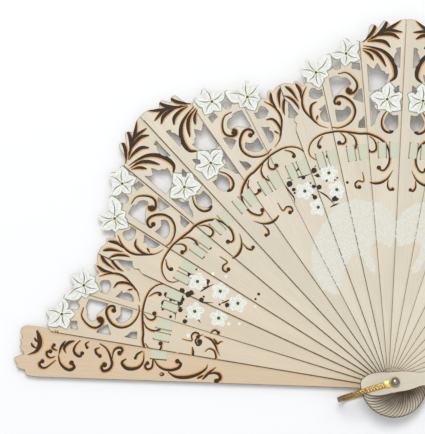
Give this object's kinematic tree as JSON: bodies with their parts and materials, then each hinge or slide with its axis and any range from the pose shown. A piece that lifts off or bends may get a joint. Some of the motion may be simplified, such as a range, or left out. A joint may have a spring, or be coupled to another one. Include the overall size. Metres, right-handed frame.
{
  "type": "folding fan",
  "caption": "Open brise folding fan: pierced and painted wooden sticks threaded on a ribbon between two guards, on one rivet with a brass bail.",
  "frame": {"origin": "centre of the flat rear face of the rivet, on the pivot axis", "axes": "+Z along the rivet towards the front head, +Y to the middle of the open fan, +X to the right as seen from the front"},
  "size_m": [0.4262, 0.2279, 0.0228],
  "materials": {
    "stick_wood": "pale fine-grained wood, matt, hand painted",
    "guard_wood": "warmer fine-grained wood, satin, hand painted",
    "ribbon_silk": "pale grey-green silk ribbon",
    "gilt_brass": "gilt brass, embossed, darkened in the hollows",
    "rivet_steel": "bright domed rivet head"
  },
  "bodies": {
    "left_guard": {"left_guard": "guard_wood", "ribbon_left_end": "ribbon_silk", "rivet_pin": "gilt_brass", "rivet_washer": "gilt_brass", "rivet_dome": "rivet_steel"},
    "stick_01": {"stick_01": "stick_wood", "ribbon_01": "ribbon_silk"},
    "stick_02": {"stick_02": "stick_wood", "ribbon_02": "ribbon_silk"},
    "stick_03": {"stick_03": "stick_wood", "ribbon_03": "ribbon_silk"},
    "stick_04": {"stick_04": "stick_wood", "ribbon_04": "ribbon_silk"},
    "stick_05": {"stick_05": "stick_wood", "ribbon_05": "ribbon_silk"},
    "stick_06": {"stick_06": "stick_wood", "ribbon_06": "ribbon_silk"},
    "stick_07": {"stick_07": "stick_wood", "ribbon_07": "ribbon_silk"},
    "stick_08": {"stick_08": "stick_wood", "ribbon_08": "ribbon_silk"},
    "stick_09": {"stick_09": "stick_wood", "ribbon_09": "ribbon_silk"},
    "stick_10": {"stick_10": "stick_wood", "ribbon_10": "ribbon_silk"},
    "stick_11": {"stick_11": "stick_wood", "ribbon_11": "ribbon_silk"},
    "stick_12": {"stick_12": "stick_wood", "ribbon_12": "ribbon_silk"},
    "stick_13": {"stick_13": "stick_wood", "ribbon_13": "ribbon_silk"},
    "stick_14": {"stick_14": "stick_wood", "ribbon_14": "ribbon_silk"},
    "stick_15": {"stick_15": "stick_wood", "ribbon_15": "ribbon_silk"},
    "stick_16": {"stick_16": "stick_wood", "ribbon_16": "ribbon_silk"},
    "stick_17": {"stick_17": "stick_wood", "ribbon_17": "ribbon_silk"},
    "stick_18": {"stick_18": "stick_wood", "ribbon_18": "ribbon_silk"},
    "stick_19": {"stick_19": "stick_wood", "ribbon_19": "ribbon_silk"},
    "stick_20": {"stick_20": "stick_wood", "ribbon_20": "ribbon_silk"},
    "stick_21": {"stick_21": "stick_wood", "ribbon_21": "ribbon_silk"},
    "right_guard": {"right_guard": "guard_wood", "ribbon_right_end": "ribbon_silk"},
    "bail": {"bail": "gilt_brass"}
  },
  "joints": [
    {"name": "fan_fold", "type": "hinge", "parent": "left_guard", "child": "right_guard", "pos_m": [0, 0, 0], "axis": [0, 0, 1], "range_deg": [0, 168.2]},
    {"name": "stick_01_turn", "type": "hinge", "parent": "left_guard", "child": "stick_01", "pos_m": [0, 0, 0], "axis": [0, 0, 1], "range_deg": [0, 7.7]},
    {"name": "stick_02_turn", "type": "hinge", "parent": "left_guard", "child": "stick_02", "pos_m": [0, 0, 0], "axis": [0, 0, 1], "range_deg": [0, 15.34]},
    {"name": "stick_03_turn", "type": "hinge", "parent": "left_guard", "child": "stick_03", "pos_m": [0, 0, 0], "axis": [0, 0, 1], "range_deg": [0, 22.99]},
    {"name": "stick_04_turn", "type": "hinge", "parent": "left_guard", "child": "stick_04", "pos_m": [0, 0, 0], "axis": [0, 0, 1], "range_deg": [0, 30.63]},
    {"name": "stick_05_turn", "type": "hinge", "parent": "left_guard", "child": "stick_05", "pos_m": [0, 0, 0], "axis": [0, 0, 1], "range_deg": [0, 38.28]},
    {"name": "stick_06_turn", "type": "hinge", "parent": "left_guard", "child": "stick_06", "pos_m": [0, 0, 0], "axis": [0, 0, 1], "range_deg": [0, 45.92]},
    {"name": "stick_07_turn", "type": "hinge", "parent": "left_guard", "child": "stick_07", "pos_m": [0, 0, 0], "axis": [0, 0, 1], "range_deg": [0, 53.57]},
    {"name": "stick_08_turn", "type": "hinge", "parent": "left_guard", "child": "stick_08", "pos_m": [0, 0, 0], "axis": [0, 0, 1], "range_deg": [0, 61.21]},
    {"name": "stick_09_turn", "type": "hinge", "parent": "left_guard", "child": "stick_09", "pos_m": [0, 0, 0], "axis": [0, 0, 1], "range_deg": [0, 68.86]},
    {"name": "stick_10_turn", "type": "hinge", "parent": "left_guard", "child": "stick_10", "pos_m": [0, 0, 0], "axis": [0, 0, 1], "range_deg": [0, 76.5]},
    {"name": "stick_11_turn", "type": "hinge", "parent": "left_guard", "child": "stick_11", "pos_m": [0, 0, 0], "axis": [0, 0, 1], "range_deg": [0, 84.15]},
    {"name": "stick_12_turn", "type": "hinge", "parent": "left_guard", "child": "stick_12", "pos_m": [0, 0, 0], "axis": [0, 0, 1], "range_deg": [0, 91.8]},
    {"name": "stick_13_turn", "type": "hinge", "parent": "left_guard", "child": "stick_13", "pos_m": [0, 0, 0], "axis": [0, 0, 1], "range_deg": [0, 99.44]},
    {"name": "stick_14_turn", "type": "hinge", "parent": "left_guard", "child": "stick_14", "pos_m": [0, 0, 0], "axis": [0, 0, 1], "range_deg": [0, 107.09]},
    {"name": "stick_15_turn", "type": "hinge", "parent": "left_guard", "child": "stick_15", "pos_m": [0, 0, 0], "axis": [0, 0, 1], "range_deg": [0, 114.73]},
    {"name": "stick_16_turn", "type": "hinge", "parent": "left_guard", "child": "stick_16", "pos_m": [0, 0, 0], "axis": [0, 0, 1], "range_deg": [0, 122.38]},
    {"name": "stick_17_turn", "type": "hinge", "parent": "left_guard", "child": "stick_17", "pos_m": [0, 0, 0], "axis": [0, 0, 1], "range_deg": [0, 130.02]},
    {"name": "stick_18_turn", "type": "hinge", "parent": "left_guard", "child": "stick_18", "pos_m": [0, 0, 0], "axis": [0, 0, 1], "range_deg": [0, 137.67]},
    {"name": "stick_19_turn", "type": "hinge", "parent": "left_guard", "child": "stick_19", "pos_m": [0, 0, 0], "axis": [0, 0, 1], "range_deg": [0, 145.31]},
    {"name": "stick_20_turn", "type": "hinge", "parent": "left_guard", "child": "stick_20", "pos_m": [0, 0, 0], "axis": [0, 0, 1], "range_deg": [0, 152.96]},
    {"name": "stick_21_turn", "type": "hinge", "parent": "left_guard", "child": "stick_21", "pos_m": [0, 0, 0], "axis": [0, 0, 1], "range_deg": [0, 160.6]},
    {"name": "bail_swing", "type": "hinge", "parent": "left_guard", "child": "bail", "pos_m": [0, 0, 0], "axis": [0, 0, 1], "range_deg": [-8, 156]}
  ],
  "couplings": [
    {"joint": "stick_01_turn", "follows": "fan_fold", "ratio": 0.045455},
    {"joint": "stick_02_turn", "follows": "fan_fold", "ratio": 0.090909},
    {"joint": "stick_03_turn", "follows": "fan_fold", "ratio": 0.13636},
    {"joint": "stick_04_turn", "follows": "fan_fold", "ratio": 0.18182},
    {"joint": "stick_05_turn", "follows": "fan_fold", "ratio": 0.22727},
    {"joint": "stick_06_turn", "follows": "fan_fold", "ratio": 0.27273},
    {"joint": "stick_07_turn", "follows": "fan_fold", "ratio": 0.31818},
    {"joint": "stick_08_turn", "follows": "fan_fold", "ratio": 0.36364},
    {"joint": "stick_09_turn", "follows": "fan_fold", "ratio": 0.40909},
    {"joint": "stick_10_turn", "follows": "fan_fold", "ratio": 0.45454},
    {"joint": "stick_11_turn", "follows": "fan_fold", "ratio": 0.5},
    {"joint": "stick_12_turn", "follows": "fan_fold", "ratio": 0.54546},
    {"joint": "stick_13_turn", "follows": "fan_fold", "ratio": 0.59091},
    {"joint": "stick_14_turn", "follows": "fan_fold", "ratio": 0.63636},
    {"joint": "stick_15_turn", "follows": "fan_fold", "ratio": 0.68182},
    {"joint": "stick_16_turn", "follows": "fan_fold", "ratio": 0.72727},
    {"joint": "stick_17_turn", "follows": "fan_fold", "ratio": 0.77273},
    {"joint": "stick_18_turn", "follows": "fan_fold", "ratio": 0.81818},
    {"joint": "stick_19_turn", "follows": "fan_fold", "ratio": 0.86364},
    {"joint": "stick_20_turn", "follows": "fan_fold", "ratio": 0.90909},
    {"joint": "stick_21_turn", "follows": "fan_fold", "ratio": 0.95454}
  ]
}
